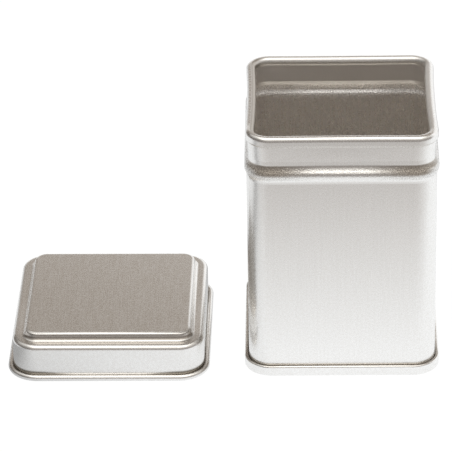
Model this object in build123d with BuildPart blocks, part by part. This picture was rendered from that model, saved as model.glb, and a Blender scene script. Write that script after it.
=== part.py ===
"""Small square tinplate spice tin: a rolled body with a curled mouth, a base
double-seamed on to it, and a drawn slip lid that lies beside the open tin.

Millimetres, +Z up, the origin at the centre of the tin's footprint, the lid
on the -X side. Every piece is one sheet: its section is drawn as the sheet's
centre line, thickened, and carried round the rounded square of the tin.
"""

import os
from math import cos, radians, sin, tan

from build123d import *

# --- driving dimensions -----------------------------------------------------
SHEET = 0.28  # tinplate thickness
PLAY = 0.17  # sealing compound between neighbouring layers of the double seam
LAND = 0.03  # what standing on it has flattened from the seam's underside

BODY_HALF = 30.0  # tin's axis to the outside of the plain wall
BODY_CENTRE = 22.5  # tin's axis to the centre of each corner's arcs
MOUTH_Z = 85.15  # top of the mouth's curl

NECK_HALF = 29.35  # outside of the neck's front, and of all its sides at its foot
NECK_SIDE_HALF = 30.0  # outside of the neck's left and right, at the mouth's corners
SIDE_BOW = 0.75  # how far the left and right sides sink in at the mouth
FACE_BOW = 0.25  # how far the front and back sink in at the mouth
CURL_WIDE = 3.0  # across the mouth's rolled edge
CURL_PROUD = 0.65  # how far that curl stands out from the neck
CURL_END = 0.35  # the curl's raw edge stops this far short of the neck

BEAD_Z = 72.0  # crest of the rolled bead that the lid comes down to
BEAD_RISE = 0.7  # how far the crest stands out from the plain wall
BEAD_UNDER_LEAN = 25  # degrees that the bead leans out under its crest
BEAD_OVER_LEAN = 45  # degrees that it leans back in over its crest
BEAD_FOOT_TURN = 5.0  # radius where the bead leaves the plain wall
BEAD_CREST_TURN = 1.85  # radius over the crest
BEAD_HEAD_TURN = 2.5  # radius where the bead meets the neck

SEAM_TALL = 3.5  # height of the double seam
SEAM_TURN = 0.4  # radius of the folds in the seam
BODY_HOOK_TOP = 2.75  # where the body's hook ends, inside the cover's
COVER_HOOK_END = 1.2  # where the cover's hook ends, inside the body's

PANEL_Z = 3.4  # top of the base's panel beside the countersink wall
PANEL_STEP = 0.6  # rise of the pressed step in that panel
PANEL_STEP_HALF = 25.9  # tin's axis to the foot of the step
PANEL_CORE_HALF = 24.0  # half width of the flat middle of the panel
PANEL_TURN = 0.6  # radius of the bends in the panel

WELD_WIDE = 1.2  # welded lap that closes the body sheet, on the +X side
WELD_PROUD = 0.1  # how far the lap stands out from the wall

LID_AT = (-75.15, -1.8)  # the lid's axis beside the tin
LID_TURN = -0.4  # degrees that the lid is turned about its axis
LID_HALF = 30.9  # lid's axis to the outside of the skirt
LID_CENTRE = 22.6  # lid's axis to the centre of each corner's arcs
LID_TALL = 14.75  # rim to the top of the raised panel
LID_CORE_HALF = 25.4  # half width of the flat middle of the lid
SHOULDER_Z = 12.1  # top of the shoulder round the raised panel
SHOULDER_TURN = 1.4  # radius between shoulder and skirt
RISER_HEAD_HALF = 26.5  # outside of the riser at the panel
RISER_FOOT_HALF = 27.15  # outside of the riser at the shoulder
RISER_HEAD_TURN = 0.95  # radius between panel and riser
RISER_FOOT_TURN = 1.1  # radius between riser and shoulder
RIM_RADIUS = 1.0  # outside of the lid's rolled edge
RIM_SWEEP = 312  # degrees that the rolled edge turns through

os.makedirs("parts", exist_ok=True)

# --- sheet-metal helpers ----------------------------------------------------
MID = SHEET / 2  # sheet's surface to its centre line
LAYER = SHEET + PLAY  # pitch of the layers outside the body wall in the seam


def section_of(frame):
    """Upright plane through the front wall: x out from the axis, y up."""
    return Plane(origin=frame.origin, x_dir=-frame.y_dir, z_dir=-frame.x_dir)


def rounded_square(half, centre, frame):
    """The closed loop that a section is carried round."""
    with BuildSketch(frame) as plan:
        RectangleRounded(2 * half, 2 * half, half - centre)
    return plan.sketch.face().outer_wire()


def polar(centre, radius, degrees):
    """The point at an angle on a circle of the section."""
    angle = radians(degrees)
    return (centre[0] + radius * cos(angle), centre[1] + radius * sin(angle))


# --- body_wall: hook, plain wall, bead, neck and curled mouth ----------------
tin = Plane.XY
wall_x = BODY_HALF - MID
neck_x = NECK_HALF - MID
land_z = MID - LAND  # seaming panel that the tin stands on
hook_z = land_z + SHEET  # fold of the body hook, down on the seaming panel
chuck_x = wall_x - SHEET  # countersink wall, pressed against the body wall

# the bead's flanks meet at an apex, which the crest's radius cuts back
under, over = BEAD_UNDER_LEAN, BEAD_OVER_LEAN
crest_centre = (wall_x + BEAD_RISE - BEAD_CREST_TURN, BEAD_Z)
apex_reach = BEAD_CREST_TURN / cos(radians((over + under) / 2))
apex_x, apex_z = polar(crest_centre, apex_reach, (over - under) / 2)
bead_foot_z = apex_z - (apex_x - wall_x) / tan(radians(under))
bead_head_z = apex_z + (apex_x - neck_x) / tan(radians(over))
bead_turns = [BEAD_FOOT_TURN, BEAD_CREST_TURN, BEAD_HEAD_TURN]

neck_foot_z = bead_head_z + BEAD_HEAD_TURN
curl_out = neck_x + CURL_PROUD
curl_in = curl_out - CURL_WIDE + SHEET
curl_top = MOUTH_Z - MID
curl_root = MOUTH_Z - CURL_WIDE + MID
curl_turn = 0.95 * (CURL_WIDE - SHEET) / 2


def mouth_outline(z):
    """Outside of the neck at the mouth, where all four sides sink in."""
    x, y = NECK_SIDE_HALF, NECK_HALF + FACE_BOW
    with BuildSketch(Plane.XY.offset(z)) as plan:
        with BuildLine():
            ThreePointArc((-x, -y), (0, FACE_BOW - y), (x, -y))
            ThreePointArc((x, -y), (x - SIDE_BOW, 0), (x, y))
            ThreePointArc((x, y), (0, y - FACE_BOW), (-x, y))
            ThreePointArc((-x, y), (SIDE_BOW - x, 0), (-x, -y))
        make_face()
        fillet(plan.vertices(), NECK_HALF - BODY_CENTRE)
    return plan.sketch.face()


neck_head_z = curl_root - CURL_PROUD - SHEET
neck_foot = Face(rounded_square(NECK_HALF, BODY_CENTRE, tin.offset(neck_foot_z)))
neck_head = mouth_outline(neck_head_z)

with BuildPart() as body_wall:
    # the neck leans from the straight bead in to the sunken mouth
    loft(sections=[neck_foot, neck_head], ruled=True)
    inside = [
        Face(face.outer_wire().offset_2d(-SHEET)) for face in (neck_foot, neck_head)
    ]
    loft(sections=inside, ruled=True, mode=Mode.SUBTRACT)
    # everything under the neck, up from the raw edge of the body hook
    with BuildSketch(section_of(tin)):
        with BuildLine():
            FilletPolyline(
                (wall_x + 2 * LAYER, BODY_HOOK_TOP),
                (wall_x + 2 * LAYER, hook_z),
                (wall_x, hook_z),
                (wall_x, bead_foot_z),
                (apex_x, apex_z),
                (neck_x, bead_head_z),
                (neck_x, neck_foot_z),
                radius=[SEAM_TURN, SEAM_TURN, *bead_turns],
            )
        trace(line_width=SHEET)
    sweep(path=rounded_square(BODY_HALF, BODY_CENTRE, tin))
    # the mouth's rolled edge
    with BuildSketch(section_of(tin)):
        with BuildLine():
            FilletPolyline(
                (neck_x, neck_head_z),
                (neck_x, curl_root - CURL_PROUD),
                (curl_out, curl_root),
                (curl_out, curl_top),
                (curl_in, curl_top),
                (curl_in, curl_root),
                (neck_x - SHEET - CURL_END, curl_root),
                radius=[SHEET, SHEET, curl_turn, curl_turn, curl_turn],
            )
        trace(line_width=SHEET)
    sweep(path=neck_head.outer_wire())
    # the welded lap of the rolled sheet
    lap_foot = SEAM_TALL + SHEET
    lap_head = bead_foot_z - BEAD_FOOT_TURN * tan(radians(under / 2))
    with BuildSketch(Plane.XY.offset(lap_foot)):
        with Locations((BODY_HALF, 0)):
            Rectangle(2 * WELD_PROUD, WELD_WIDE)
    extrude(amount=lap_head - lap_foot)
body_wall.part.label = "body_wall"
export_step(body_wall.part, "parts/body_wall.step")

# --- base: cover hook, seam, countersink wall and stepped panel --------------
panel_mid_z = PANEL_Z - MID

with BuildPart() as base:
    with BuildSketch(section_of(tin)):
        with BuildLine():
            FilletPolyline(
                (wall_x + LAYER, COVER_HOOK_END),
                (wall_x + LAYER, SEAM_TALL - MID),
                (wall_x + 3 * LAYER, SEAM_TALL - MID),
                (wall_x + 3 * LAYER, land_z),
                (chuck_x, land_z),
                (chuck_x, panel_mid_z),
                (PANEL_STEP_HALF, panel_mid_z),
                (PANEL_STEP_HALF - PANEL_STEP, panel_mid_z + PANEL_STEP),
                (PANEL_CORE_HALF, panel_mid_z + PANEL_STEP),
                radius=[SEAM_TURN] * 4 + [PANEL_TURN] * 3,
            )
        trace(line_width=SHEET)
    sweep(path=rounded_square(BODY_HALF, BODY_CENTRE, tin))
    with BuildSketch(Plane.XY.offset(PANEL_Z + PANEL_STEP)):
        core = PANEL_CORE_HALF
        RectangleRounded(2 * core, 2 * core, core - BODY_CENTRE)
    extrude(amount=-SHEET)
    # the land that the tin stands on
    split(bisect_by=Plane.XY, keep=Keep.TOP)
base.part.label = "base"
export_step(base.part, "parts/base.step")

# --- lid: raised panel, riser, shoulder, skirt and rolled rim ----------------
lid_frame = Plane(
    origin=(*LID_AT, 0),
    x_dir=(cos(radians(LID_TURN)), sin(radians(LID_TURN)), 0),
    z_dir=(0, 0, 1),
)
skirt_x = LID_HALF - MID
rim_at = (LID_HALF - SHEET + RIM_RADIUS, RIM_RADIUS)
rim_mid = RIM_RADIUS - MID

with BuildPart() as lid:
    with BuildSketch(section_of(lid_frame)):
        with BuildLine():
            FilletPolyline(
                (LID_CORE_HALF, LID_TALL - MID),
                (RISER_HEAD_HALF - MID, LID_TALL - MID),
                (RISER_FOOT_HALF - MID, SHOULDER_Z - MID),
                (skirt_x, SHOULDER_Z - MID),
                (skirt_x, RIM_RADIUS),
                radius=[RISER_HEAD_TURN, RISER_FOOT_TURN, SHOULDER_TURN],
            )
            ThreePointArc(
                (skirt_x, RIM_RADIUS),
                polar(rim_at, rim_mid, 180 + RIM_SWEEP / 2),
                polar(rim_at, rim_mid, 180 + RIM_SWEEP),
            )
        trace(line_width=SHEET)
    sweep(path=rounded_square(LID_HALF, LID_CENTRE, lid_frame))
    with BuildSketch(lid_frame.offset(LID_TALL)):
        core = LID_CORE_HALF
        RectangleRounded(2 * core, 2 * core, core - LID_CENTRE)
    extrude(amount=-SHEET)
lid.part.label = "lid"
export_step(lid.part, "parts/lid.step")
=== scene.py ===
"""Looks and studio for a small square tinplate spice tin with its slip lid
lying beside it. The three sheet-metal pieces come from the fixed frame; this
file gives each its finish and sets the tin on a white sweep under soft light.
"""

from functools import partial
from math import pi, radians

import bpy
from bpy.props import (
    FloatProperty,
    FloatVectorProperty,
    IntProperty,
    PointerProperty,
)
from bpy.types import Operator, Panel, PropertyGroup
from mathutils import Matrix, Vector


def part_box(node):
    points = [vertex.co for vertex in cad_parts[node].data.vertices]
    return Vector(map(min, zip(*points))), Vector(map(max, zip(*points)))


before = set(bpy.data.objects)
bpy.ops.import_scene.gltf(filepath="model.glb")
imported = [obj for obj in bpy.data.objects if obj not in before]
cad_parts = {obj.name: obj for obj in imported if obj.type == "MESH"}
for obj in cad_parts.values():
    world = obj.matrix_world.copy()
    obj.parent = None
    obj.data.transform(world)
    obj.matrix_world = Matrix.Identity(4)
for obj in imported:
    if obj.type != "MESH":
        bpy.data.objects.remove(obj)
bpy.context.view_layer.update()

bl_info = {
    "name": "Spice tin",
    "version": (1, 0, 0),
    "blender": (4, 5, 0),
    "location": "View3D > Sidebar > Spice tin",
    "description": "Finishes and a small studio for a tinplate spice tin",
    "category": "Object",
}

MM = 0.001
NOISE_LOW = 0.35  # nearly all of a noise texture's values lie between these
NOISE_HIGH = 0.65
FACING_FULL = 2 * MM  # Sheet.facing where a mark on one face alone is full

# A Map Range node's values are what it reads, where it starts and ends, and
# what it gives there, which is 0 and 1 unless said. This softens both ends.
SMOOTH = {"interpolation_type": "SMOOTHSTEP"}


# --- colours and kinds of setting --------------------------------------------
def linear(hex_colour):
    """An sRGB hex colour as linear red, green and blue."""
    out = []
    for start in (0, 2, 4):
        value = int(hex_colour[start : start + 2], 16) / 255
        low = value <= 0.04045
        out.append(value / 12.92 if low else ((value + 0.055) / 1.055) ** 2.4)
    return tuple(out)


WHITE = linear("FFFFFF")


def colour(name, description, hex_colour):
    """A colour, given as sRGB hex."""
    return FloatVectorProperty(
        name=name,
        description=description,
        subtype="COLOR",
        size=3,
        min=0,
        max=1,
        default=linear(hex_colour),
    )


def length(name, description, millimetres):
    """A size or a place along an axis, given in millimetres."""
    return FloatProperty(
        name=name, description=description, unit="LENGTH", default=millimetres * MM
    )


def point(name, description, *millimetres):
    """A place, given in millimetres."""
    return FloatVectorProperty(
        name=name,
        description=description,
        subtype="TRANSLATION",
        size=3,
        default=[distance * MM for distance in millimetres],
    )


def angle(name, description, degrees):
    """A turn, given in degrees."""
    return FloatProperty(
        name=name, description=description, subtype="ANGLE", default=radians(degrees)
    )


def factor(name, description, default):
    """A plain factor, mostly from 0 to 1."""
    return FloatProperty(
        name=name,
        description=description,
        subtype="FACTOR",
        min=0,
        soft_max=1,
        default=default,
    )


# --- sizes and colours that a user would change ------------------------------
class TinplateSettings(PropertyGroup):
    """The sheet that all three pieces are pressed from."""

    bright: colour("Bright crystals", "Colour of the clean tin coating", "FDFCFA")
    shade: colour("Dull crystals", "Colour of the crystals between them", "F5F3F0")
    roughness: factor("Roughness", "How far the satin spreads a reflection", 0.28)
    uneven: factor("Unevenness", "How much that varies up or down", 0.03)
    grain: length("Grain size", "Width of the coating's crystals", 0.6)
    grain_height: length("Grain height", "Height of the crystals", 0.0015)
    streak: length("Rolling mark width", "Width of the sheet's rolling marks", 0.35)
    streak_length: length("Rolling mark length", "Length of those marks", 14)
    corner: length("Corner centre", "Axis to the centre of each corner's arcs", 22.5)
    wave: length("Waviness pitch", "Distance between a panel's gentle hills", 26)
    wave_height: length("Waviness height", "Height of those hills", 0.02)


class BodySettings(PropertyGroup):
    """Marks that only the rolled body has."""

    bead_z: length("Bead height", "Middle of the marks on the rolled bead", 72.6)
    bead_reach: length("Bead reach", "How far from there the peening reaches", 2.8)
    even: length("Even length", "Half of each side's length with a full bead", 6)
    even_fade: length("End's length", "Length over which the bead then fades", 16)
    front: length("Front", "Place where the front's marks are full", -27)
    front_fade: length("Front's fade", "Depth over which they fade behind it", 8)
    flank: length("Upper flank", "Height of the bead's upper flank", 3)
    lean: length("Lean", "How far that flank leans in towards the corners", 0.6)
    lean_even: factor("Even lean", "Share of the lean at which it is as drawn", 0.4)
    inward: length("Turn inside", "How far the inside turns in over the bead", 0.9)
    groove: length("Groove inside", "How much deeper the groove behind it is", 0.7)
    speckle: length("Peening", "Width of the peened facets", 0.45)
    speckle_height: length("Peening height", "Height of the facets", 0.22)
    # painted shade on the bead's ends
    bead_end_shade: colour("Bead's ends", "Duller metal towards the corners", "BCB4AA")
    tip: length("Tip", "Middle to where the dull band starts to thin out", 26)
    tip_end: length("Tip's end", "Middle to where it is only a line", 29.5)
    fold_z: length("Fold height", "Where the curl leaves the neck", 81.98)
    # painted shade in the fold under the curl and over the inner groove
    painted_shade: colour("Fold", "Metal in that fold and over the inner groove", "D9D5D0")
    lining: colour("Inside", "Metal of the wall's inside", "FFFDFB")
    # painted shade on the inner edge on the left
    rim_left_shade: colour("Rim's left", "Tint of the inner edge on the left", "C4BEB6")
    weld: colour("Weld", "Heat-dulled colour of the welded lap", "B4AEA6")
    weld_width: length("Weld width", "Dulled strip along the lap", 1.9)
    weld_rough: factor("Weld roughness", "Roughness added by the heat", 0.18)


class BaseSettings(PropertyGroup):
    """Marks that only the seamed base has."""

    # painted shade in the seam's groove
    groove: colour("Groove", "Darker metal in the seam's groove", "BEB9B2")
    groove_out: length("Groove edge", "Axis to the outer edge of that groove", 30.7)
    groove_wide: length("At corners", "How much further out it is there", 0.5)
    groove_z: length("Groove height", "Foot of that groove", 2.9)
    side: length("Even length", "Half of each side's length before the corners", 14)
    corner: length("Corner", "Middle of a side to where its corners are full", 24)


class LidSettings(PropertyGroup):
    """Marks that only the drawn lid has."""

    dome: factor("Dome", "Fall of the panel as a share of distance squared", 0.14)
    shoulder_z: length("Shoulder", "Height of the flat shoulder", 12.1)
    riser_foot: length("Riser foot", "Height where the riser starts", 12.2)
    riser_head: length("Riser head", "Height where it ends", 14.3)
    front: length("Front", "Place where the front's marks are full", -26)
    front_fade: length("Front's fade", "Depth over which they fade behind it", 3)
    foot_tall: length("Foot", "Height of the riser's soft foot", 1.2)
    foot_flare: length("Foot flare", "How much softer that foot turns", 0.25)
    grain: length("Riser grain", "Width of the riser's coarse grain", 0.6)
    grain_height: length("Riser grain height", "Height of that grain", 0.03)
    # painted shade on the front riser
    riser: colour("Riser", "Metal of the front riser", "C6C0B9")
    # painted shade on the front shoulder
    shoulder: colour("Front shoulder", "Metal of the front shoulder", "EBEAE8")
    # painted shade behind the rolled rim
    groove: colour("Groove", "Darker metal behind the rolled rim", "8F8980")
    groove_out: length("Groove edge", "Axis to the outer edge of that groove", 31.5)
    groove_z: length("Groove height", "Top of that groove", 2)
    groove_tall: length("At corners", "How much higher it reaches there", 1)
    groove_even: factor("Between corners", "Strength of its colour there", 0.85)
    side: length("Even length", "Half of each side's length before the corners", 10)
    corner: length("Corner", "Middle of a side to where its corners are full", 24)


class StageSettings(PropertyGroup):
    """Camera, sweep and soft light."""

    focal: FloatProperty(
        name="Focal length",
        description="Lens on a 36 mm wide sensor",
        unit="CAMERA",
        default=278.41,
    )
    distance: length("Camera distance", "From the point it looks at", 1134.75)
    azimuth: angle("Camera azimuth", "Its turn to the right of straight back", -1.4025)
    elevation: angle("Camera elevation", "Its height over the horizon", 28.5673)
    roll: angle("Camera roll", "Its turn about its own axis", -1.0497)
    target: point("Looks at", "Point that the camera looks at", -37.274, 0, 38.099)
    bounces: IntProperty(
        name="Reflections",
        description="How many reflections light is followed for inside the tin",
        subtype="UNSIGNED",
        default=24,
    )
    sweep_size: length("Sweep size", "Width of the paper", 6000)
    sweep: colour("Sweep", "Colour of the paper", "F2F2F2")
    white: factor("White", "Strength of the white that the camera sees", 1.1)
    white_share: factor("White's share", "The rest shows the shadow", 0.87)
    glow: factor("Glow", "Strength of the paper's glow in the metal", 1.04)
    glow_share: factor("Glow's share", "The rest mirrors the plain paper", 0.9)
    box_place: point("Softbox", "Middle of the light overhead", 0, -210, 900)
    box_width: length("Softbox width", "From left to right", 850)
    box_depth: length("Softbox depth", "From front to back", 620)
    box_colour: colour("Softbox colour", "Slightly warm white", "FFFCF7")
    box_power: FloatProperty(
        name="Softbox power", description="In watts", unit="POWER", default=1.75
    )


# --- node helpers -------------------------------------------------------------
def add(tree, kind, *values, inputs=None, **settings):
    """A node with its settings. Values go in order to the inputs in use, and
    inputs names others. A node as a value links its first output in use."""
    made = tree.nodes.new("ShaderNode" + kind)
    for name, value in settings.items():
        setattr(made, name, value)
    in_use = [socket for socket in made.inputs if socket.enabled]
    pairs = list(zip(in_use, values))
    pairs += [(made.inputs[name], value) for name, value in (inputs or {}).items()]
    for socket, value in pairs:
        if isinstance(value, bpy.types.Node):
            value = next(output for output in value.outputs if output.enabled)
        if isinstance(value, bpy.types.NodeSocket):
            tree.links.new(value, socket)
        elif socket.type == "RGBA":
            socket.default_value = (*value, 1.0)
        else:
            socket.default_value = value
    return made


def set_stops(ramp, *stops):
    """Gives a colour ramp its stops: places from 0 to 1 and sRGB hex colours."""
    elements = ramp.color_ramp.elements
    elements.remove(elements[1])
    elements[0].position = stops[0][0]
    for place, _ in stops[1:]:
        elements.new(place)
    for element, (_, hex_colour) in zip(elements, stops):
        element.color = (*linear(hex_colour), 1.0)


def new_tree(name):
    """An empty material and its node tree."""
    material = bpy.data.materials.new(name)
    material.use_nodes = True
    material.node_tree.nodes.clear()
    return material, material.node_tree


# --- materials ----------------------------------------------------------------
class Sheet:
    """A square sheet-metal piece's finish while its marks are added.

    Its places are read from the piece's own coordinates: z is the height, out
    the distance from the axis to the rounded square through the point, and
    side the distance along a side from its middle, which is largest at the
    corners. facing is above 0 on the outside and below 0 on the inside.
    """

    def __init__(self, tree, centre, corner):
        self.node = node = partial(add, tree)
        coordinates = node("TexCoord").outputs
        self.where = coordinates["Object"]
        from_axis = node("VectorMath", self.where, centre, operation="SUBTRACT")
        self.flat = node("VectorMath", from_axis, (1, 1, 0), operation="MULTIPLY")
        normal = coordinates["Normal"]
        self.facing = node("VectorMath", self.flat, normal, operation="DOT_PRODUCT")
        aside = node("VectorMath", self.flat, operation="ABSOLUTE")
        arc_centre = (corner, corner, 0)
        beyond = node("VectorMath", aside, arc_centre, operation="SUBTRACT")
        beyond = node("VectorMath", beyond, (0, 0, 0), operation="MAXIMUM")
        beyond = node("VectorMath", beyond, operation="LENGTH")
        self.out = node("Math", beyond, corner, operation="ADD")
        along = node("SeparateXYZ", aside).outputs
        self.side = node("Math", along["X"], along["Y"], operation="MINIMUM")
        axes = node("SeparateXYZ", self.where).outputs
        self.x, self.y, self.z = axes["X"], axes["Y"], axes["Z"]
        self.colour = self.rough = self.normal = None

    def grain(self, *pitch, detail=2.0):
        """Strength of a noise with its own pitch along each axis."""
        scale = [1 / distance for distance in pitch]
        place = self.node("VectorMath", self.where, scale, operation="MULTIPLY")
        noise = {"Vector": place, "Scale": 1.0, "Detail": detail, "Roughness": 0.6}
        return self.node("TexNoise", inputs=noise)

    def band(self, value, middle, reach):
        """1 in the middle half of a band of values, and 0 past its reach."""
        off = self.node("Math", value, middle, operation="SUBTRACT")
        off = self.node("Math", off, operation="ABSOLUTE")
        return self.node("MapRange", off, reach, reach / 2, **SMOOTH)

    def all_of(self, *masks):
        """Where every mask holds."""
        held = masks[0]
        for mask in masks[1:]:
            held = self.node("Math", held, mask, operation="MULTIPLY")
        return held

    def stain(self, mask, tint):
        """Turns the metal another colour."""
        self.colour = self.node("Mix", mask, self.colour, tint, data_type="RGBA")

    def roughen(self, mask, amount):
        """Spreads the reflections further."""
        terms = (mask, amount, self.rough)
        self.rough = self.node("Math", *terms, operation="MULTIPLY_ADD")

    def emboss(self, height, distance):
        """Raises the surface by a height counted in a distance."""
        inputs = {"Height": height, "Distance": distance, "Strength": 1.0}
        if self.normal is not None:
            inputs["Normal"] = self.normal
        self.normal = self.node("Bump", inputs=inputs)


def tinplate(name, along, centre, corner, marks):
    """Matt electrolytic tinplate: bright tin over rolled steel, satin from its
    stone-finished base, with a fine crystal grain, faint rolling marks along
    one axis, and the slow waviness of a thin pressed sheet. Tin is a warm
    silver metal, so reflections keep their colour and only soften. The real
    crystals and rolling marks are finer: they are drawn coarse enough to show.
    marks is a function that adds a piece's own marks to the sheet.
    """
    s = bpy.context.scene.tinplate
    material, tree = new_tree(name)
    sheet = Sheet(tree, centre, corner)
    node = sheet.node

    grain = sheet.grain(s.grain, s.grain, s.grain)
    pitch = [s.streak_length if axis == along else s.streak for axis in "XYZ"]
    streak = sheet.grain(*pitch, detail=1.0)
    wave = sheet.grain(s.wave, s.wave, s.wave, detail=0.5)

    crystals = node("MapRange", grain, NOISE_LOW, NOISE_HIGH, **SMOOTH)
    sheet.colour = node("Mix", crystals, s.shade, s.bright, data_type="RGBA")
    both = node("Math", grain, streak, operation="ADD")
    span = (2 * NOISE_LOW, 2 * NOISE_HIGH)
    smoothest, roughest = s.roughness - s.uneven, s.roughness + s.uneven
    sheet.rough = node("MapRange", both, *span, smoothest, roughest, **SMOOTH)
    sheet.emboss(wave, s.wave_height)
    sheet.emboss(grain, s.grain_height)
    marks(sheet)

    finish = {
        "Base Color": sheet.colour,
        "Metallic": 1.0,
        "Roughness": sheet.rough,
        "Normal": sheet.normal,
    }
    node("OutputMaterial", node("BsdfPrincipled", inputs=finish))
    return material


def body_marks(sheet):
    """Speckle on the bead, which is coarser towards the corners, where painted
    shade darkens it, a deeper groove behind it, a tint for the inside, painted
    shade in the fold under the curl, over the inner groove and on the rim's left
    inner edge, and a heat-dulled welded lap. The painted shade, the inside's tint and
    the bead's lean are matched, and stand for no known wear."""
    s = bpy.context.scene.body_wall
    node, band, all_of = sheet.node, sheet.band, sheet.all_of
    outside = node("MapRange", sheet.facing, -FACING_FULL, FACING_FULL, **SMOOTH)
    inside = node("MapRange", sheet.facing, FACING_FULL, -FACING_FULL, **SMOOTH)
    ends = node("MapRange", sheet.side, s.even, s.even + s.even_fade, **SMOOTH)
    front = node("MapRange", sheet.y, s.front + s.front_fade, s.front, **SMOOTH)

    # the upper flank leans in towards the corners
    flank = node("MapRange", sheet.z, s.bead_z, s.bead_z + s.flank, **SMOOTH)
    lean = node("Math", ends, s.lean_even, operation="SUBTRACT")
    sheet.emboss(all_of(flank, lean, front, outside), s.lean)

    # inside, the neck turns in to the bead sooner than outside, and the bead
    # is a tighter groove with a line of painted shade over it
    turn_foot, turn_head = s.bead_z + 1.5 * MM, s.bead_z + 3.7 * MM
    turn = node("MapRange", sheet.z, turn_foot, turn_head, **SMOOTH)
    turn = all_of(turn, inside)
    sheet.emboss(turn, s.inward)
    groove_head, groove_foot = s.bead_z + 0.4 * MM, s.bead_z - 1.6 * MM
    groove = node("MapRange", sheet.z, groove_head, groove_foot, **SMOOTH)
    sheet.emboss(all_of(groove, inside), s.groove)
    line_z, line_reach = s.bead_z + 0.9 * MM, 0.8 * MM
    sheet.stain(all_of(band(sheet.z, line_z, line_reach), inside), s.painted_shade)
    turn_rough = 0.1
    sheet.roughen(turn, turn_rough)

    # the peened facets are deeper towards the corners and on the inside
    middle_share, end_share, inside_more = 0.7, 1.6, 0.3
    shares = (middle_share, end_share)
    depth = node("MapRange", ends, 0.0, 1.0, *shares, **SMOOTH)
    depth = node("Math", inside, inside_more, depth, operation="MULTIPLY_ADD")
    facets = sheet.grain(s.speckle, s.speckle, s.speckle, detail=3.0)
    bead = band(sheet.z, s.bead_z, s.bead_reach)
    sheet.emboss(all_of(facets, bead, depth), s.speckle_height)

    # towards the corners painted shade darkens the bead to a band, which thins
    # out to a line over the crest round the corners
    from_middle = node("Math", sheet.x, operation="ABSOLUTE")
    tips = node("MapRange", from_middle, s.tip_end, s.tip, **SMOOTH)
    crest_z, crest_reach = s.bead_z + 1.0 * MM, 2.0 * MM
    crest = all_of(band(sheet.z, crest_z, crest_reach), tips)
    line_z, line_reach = s.bead_z + 1.6 * MM, 1.1 * MM
    line = band(sheet.z, line_z, line_reach)
    painted_shade = node("Math", crest, line, operation="MAXIMUM")
    sheet.stain(all_of(painted_shade, ends, front, outside), s.bead_end_shade)

    # painted shade in the fold under the curl and on the rim's left edge, and a tint
    # for the inside
    fold_reach = 0.5 * MM
    sheet.stain(all_of(band(sheet.z, s.fold_z, fold_reach), outside), s.painted_shade)
    over_fold, under_fold = s.fold_z + 1 * MM, s.fold_z - 1 * MM
    lining = node("MapRange", sheet.z, over_fold, under_fold, **SMOOTH)
    sheet.stain(all_of(lining, inside), s.lining)
    left, left_full = -25 * MM, -27.5 * MM
    facing_full = -6 * MM
    rim_left_shade = all_of(
        node("MapRange", sheet.x, left, left_full, **SMOOTH),
        node("MapRange", sheet.z, s.fold_z, over_fold, **SMOOTH),
        node("MapRange", sheet.facing, 0.0, facing_full, **SMOOTH),
    )
    sheet.stain(rim_left_shade, s.rim_left_shade)

    # the welded lap is on the right, from the seam up to the bead
    from_lap = node("Math", sheet.y, operation="ABSOLUTE")
    edge, full = s.weld_width / 2, s.weld_width / 3
    weld = all_of(
        node("MapRange", from_lap, edge, full, **SMOOTH),
        node("Math", sheet.x, 0.0, operation="GREATER_THAN"),
        node("Math", sheet.z, s.bead_z - s.bead_reach, operation="LESS_THAN"),
    )
    sheet.stain(weld, s.weld)
    sheet.roughen(weld, s.weld_rough)


def base_marks(sheet):
    """Painted shade in the groove that the seam makes with the wall."""
    s = bpy.context.scene.base
    node = sheet.node
    # painted shade in the seam's groove, reaching further out at the corners
    corners = node("MapRange", sheet.side, s.side, s.corner, **SMOOTH)
    terms = (corners, s.groove_wide, s.groove_out)
    edge = node("Math", *terms, operation="MULTIPLY_ADD")
    past_edge = node("Math", sheet.out, edge, operation="SUBTRACT")
    soft_edge, soft_foot = 0.3 * MM, 0.2 * MM
    groove = node("MapRange", past_edge, 0.0, -soft_edge, **SMOOTH)
    foot = s.groove_z - soft_foot
    above = node("MapRange", sheet.z, foot, s.groove_z, **SMOOTH)
    sheet.stain(sheet.all_of(groove, above), s.groove)


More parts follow.
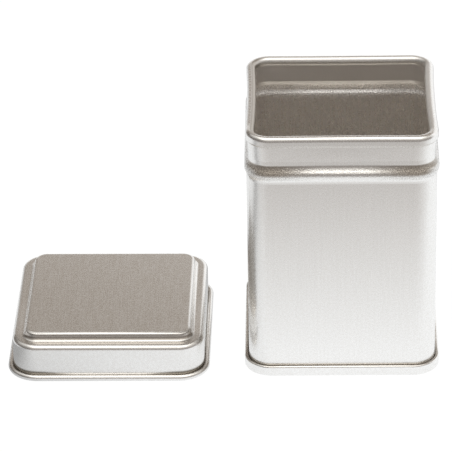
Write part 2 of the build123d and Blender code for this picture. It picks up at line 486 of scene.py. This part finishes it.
def lid_marks(sheet):
    """A coarser grain, painted shade and a softer foot on the front riser,
    painted shade on the front shoulder and in the groove behind the rolled
    rim, most of all at the corners, all matched. The panel is very gently domed."""
    s = bpy.context.scene.lid
    node, all_of = sheet.node, sheet.all_of
    foot, head = s.riser_foot, s.riser_head

    # the panel falls with the square of the distance from the axis
    flat = sheet.flat
    square = node("VectorMath", flat, flat, operation="DOT_PRODUCT")
    soft_edge = 0.4 * MM
    panel = node("MapRange", sheet.z, head, head + soft_edge, **SMOOTH)
    sheet.emboss(all_of(square, panel), -s.dome)

    front = node("MapRange", sheet.y, s.front + s.front_fade, s.front, **SMOOTH)
    beyond, within = 0.1 * MM, 0.3 * MM
    riser = all_of(
        node("MapRange", sheet.z, foot - beyond, foot + within, **SMOOTH),
        node("MapRange", sheet.z, head + beyond, head - within, **SMOOTH),
        front,
    )
    soft = node("MapRange", sheet.z, foot, foot + s.foot_tall, 1.0, 0.0, **SMOOTH)
    ahead = node("MapRange", sheet.y, 0.0, s.front, **SMOOTH)
    sheet.emboss(all_of(soft, ahead), s.foot_flare)
    coarse = sheet.grain(s.grain, s.grain, s.grain, detail=3.0)
    sheet.emboss(all_of(coarse, riser), s.grain_height)
    # painted shade on the front riser
    sheet.stain(riser, s.riser)
    # painted shade on the front shoulder
    shoulder_reach = 0.3 * MM
    shoulder = sheet.band(sheet.z, s.shoulder_z, shoulder_reach)
    sheet.stain(all_of(shoulder, front), s.shoulder)

    # painted shade in the groove behind the rolled rim, strongest at the corners
    corners = node("MapRange", sheet.side, s.side, s.corner, **SMOOTH)
    terms = (corners, s.groove_tall, s.groove_z)
    top = node("Math", *terms, operation="MULTIPLY_ADD")
    over_top = node("Math", sheet.z, top, operation="SUBTRACT")
    edge, soft_edge, soft_top = s.groove_out, 0.25 * MM, 0.4 * MM
    groove = all_of(
        node("MapRange", sheet.out, edge, edge - soft_edge, **SMOOTH),
        node("MapRange", over_top, soft_top, -soft_top, **SMOOTH),
        node("MapRange", sheet.facing, -FACING_FULL, FACING_FULL, **SMOOTH),
        node("MapRange", corners, 0.0, 1.0, s.groove_even, 1.0, **SMOOTH),
    )
    sheet.stain(groove, s.groove)


def finish_node(node, name, along, marks):
    """Gives a piece of the frame its tinplate, with marks placed from its box."""
    low, high = (Vector(corner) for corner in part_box(node))
    middle = (low + high) / 2
    corner = bpy.context.scene.tinplate.corner
    material = tinplate(name, along, (middle.x, middle.y, 0.0), corner, marks)
    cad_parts[node].material_slots[0].material = material


# --- stage --------------------------------------------------------------------
def sweep_material():
    """White paper sweep, matt: the camera sees it white with a faint shadow,
    and the metal mirrors it as bright paper that falls off towards the front.
    """
    s = bpy.context.scene.stage
    material, tree = new_tree("white_paper_sweep")
    node = partial(add, tree)
    axes = node("SeparateXYZ", node("TexCoord").outputs["Object"]).outputs
    ray = node("LightPath").outputs

    in_front, middle = -300 * MM, 0.0
    falloff = node("ValToRGB", node("MapRange", axes["Y"], in_front, middle))
    set_stops(
        falloff,
        (0.06, "898481"),
        (0.38, "C5C2C0"),
        (0.45, "C5C2C0"),
        (0.50, "D2CFCE"),
        (0.62, "E3E3E3"),
        (0.85, "FBFDFF"),
    )
    # a dimmer stretch beyond the lid's left, matched: it is what the
    # tin's left corner mirrors as a dark stripe
    left, right = -130 * MM, 50 * MM
    across = node("Math", axes["X"], axes["Y"], operation="SUBTRACT")
    level = node("ValToRGB", node("MapRange", across, left, right))
    set_stops(
        level,
        (0.00, "F3F3F3"),
        (0.10, "A0A0A0"),
        (0.22, "A0A0A0"),
        (0.39, "DADADA"),
        (0.56, "EFEFEF"),
        (0.83, "FFFFFF"),
    )
    strength = node("Math", level, s.glow, operation="MULTIPLY")

    paper = node("BsdfDiffuse", s.sweep)
    glow = node("Emission", falloff, strength)
    white = node("Emission", WHITE, s.white)
    mirrored = node("MixShader", s.glow_share, paper, glow)
    seen = node("MixShader", s.white_share, paper, white)
    not_seen = node("MixShader", ray["Is Glossy Ray"], paper, mirrored)
    node("OutputMaterial", node("MixShader", ray["Is Camera Ray"], not_seen, seen))
    return material


def studio_world():
    """White behind everything; round the tin a dim room with a soft ceiling."""
    world = bpy.data.worlds.new("studio")
    bpy.context.scene.world = world
    world.use_nodes = True
    world.node_tree.nodes.clear()
    node = partial(add, world.node_tree)
    axes = node("SeparateXYZ", node("TexCoord").outputs["Generated"]).outputs
    ray = node("LightPath").outputs

    in_front = node("ValToRGB", axes["Z"])
    set_stops(in_front, (0.35, "97918D"), (0.66, "D4D0CA"), (0.80, "EDEAE5"))
    # behind, the white sweep stands higher on the right than on the left
    slope = -0.5
    height = node("Math", axes["X"], slope, axes["Z"], operation="MULTIPLY_ADD")
    behind = node("ValToRGB", height)
    set_stops(
        behind,
        (0.32, "FFFFFF"),
        (0.42, "BDB5AD"),
        (0.49, "95897D"),
        (0.60, "898076"),
        (0.86, "95908B"),
        (0.95, "D3CEC8"),
        (1.00, "FFFCF7"),
    )
    soft = 0.12
    back = node("MapRange", axes["Y"], -soft, soft, **SMOOTH)
    around = node("Mix", back, in_front, behind, data_type="RGBA")
    # the room is darker on the left
    left, left_full, left_share = -0.15, -0.75, 0.5
    light = node("MapRange", axes["X"], left, left_full, 1.0, left_share, **SMOOTH)
    room = node("Background", around, light)
    white = node("Background", WHITE, 1.0)
    node("OutputWorld", node("MixShader", ray["Is Camera Ray"], room, white))


def softbox():
    """A flat area light over the tin, facing straight down on it."""
    s = bpy.context.scene.stage
    data = bpy.data.lights.new("top_box", "AREA")
    data.shape = "RECTANGLE"
    data.size = s.box_width
    data.size_y = s.box_depth
    data.energy = s.box_power
    data.color = s.box_colour
    lamp = bpy.data.objects.new("top_box", data)
    lamp.location = s.box_place
    bpy.context.scene.collection.objects.link(lamp)


def camera():
    """A long lens that looks down on the tin and its lid from the front."""
    s = bpy.context.scene.stage
    data = bpy.data.cameras.new("camera")
    data.lens = s.focal
    made = bpy.data.objects.new("camera", data)
    turn = Matrix.Rotation(-s.azimuth, 4, "Z")
    turn = turn @ Matrix.Rotation(pi / 2 - s.elevation, 4, "X")
    turn = turn @ Matrix.Rotation(s.roll, 4, "Z")
    back = turn.to_3x3() @ Vector((0, 0, s.distance))
    made.matrix_world = Matrix.Translation(s.target + back) @ turn
    bpy.context.scene.collection.objects.link(made)
    bpy.context.scene.camera = made


# --- operators ----------------------------------------------------------------
class SPICETIN_OT_body_wall(Operator):
    """Give the rolled body wall its tinplate, bead speckle and weld"""

    bl_idname = "spicetin.body_wall"
    bl_label = "Body wall"

    def execute(self, context):
        finish_node("body_wall", "matt_tinplate_rolled_wall", "Z", body_marks)
        return {"FINISHED"}


class SPICETIN_OT_base(Operator):
    """Give the seamed base its tinplate"""

    bl_idname = "spicetin.base"
    bl_label = "Base"

    def execute(self, context):
        finish_node("base", "matt_tinplate_pressed_base", "X", base_marks)
        return {"FINISHED"}


class SPICETIN_OT_lid(Operator):
    """Give the drawn lid its tinplate"""

    bl_idname = "spicetin.lid"
    bl_label = "Lid"

    def execute(self, context):
        finish_node("lid", "matt_tinplate_drawn_lid", "Y", lid_marks)
        return {"FINISHED"}


class SPICETIN_OT_stage(Operator):
    """Set the tin on a white sweep with soft light and a camera"""

    bl_idname = "spicetin.stage"
    bl_label = "Stage"

    def execute(self, context):
        scene = context.scene
        bpy.ops.mesh.primitive_plane_add(size=scene.stage.sweep_size)
        floor = context.object
        floor.name = "sweep"
        floor.data.materials.append(sweep_material())
        studio_world()
        softbox()
        camera()
        scene.view_settings.view_transform = "Standard"
        # light leaves a bright metal can only after many reflections
        scene.cycles.max_bounces = scene.stage.bounces
        scene.cycles.glossy_bounces = scene.stage.bounces
        return {"FINISHED"}


class SPICETIN_PT_sidebar(Panel):
    """The tin's pieces and its stage"""

    bl_idname = "SPICETIN_PT_sidebar"
    bl_label = "Spice tin"
    bl_space_type = "VIEW_3D"
    bl_region_type = "UI"
    bl_category = "Spice tin"

    def draw(self, context):
        for operator in OPERATORS:
            self.layout.operator(operator.bl_idname)


SETTINGS = {
    "tinplate": TinplateSettings,
    "body_wall": BodySettings,
    "base": BaseSettings,
    "lid": LidSettings,
    "stage": StageSettings,
}
OPERATORS = (
    SPICETIN_OT_body_wall,
    SPICETIN_OT_base,
    SPICETIN_OT_lid,
    SPICETIN_OT_stage,
)


def register():
    for cls in (*SETTINGS.values(), *OPERATORS, SPICETIN_PT_sidebar):
        bpy.utils.register_class(cls)
    for name, cls in SETTINGS.items():
        setattr(bpy.types.Scene, name, PointerProperty(type=cls))


def unregister():
    for name in SETTINGS:
        delattr(bpy.types.Scene, name)
    for cls in (SPICETIN_PT_sidebar, *reversed(OPERATORS), *SETTINGS.values()):
        bpy.utils.unregister_class(cls)


def main():
    register()
    bpy.ops.spicetin.body_wall()
    bpy.ops.spicetin.base()
    bpy.ops.spicetin.lid()
    bpy.ops.spicetin.stage()


if __name__ == "__main__":
    main()
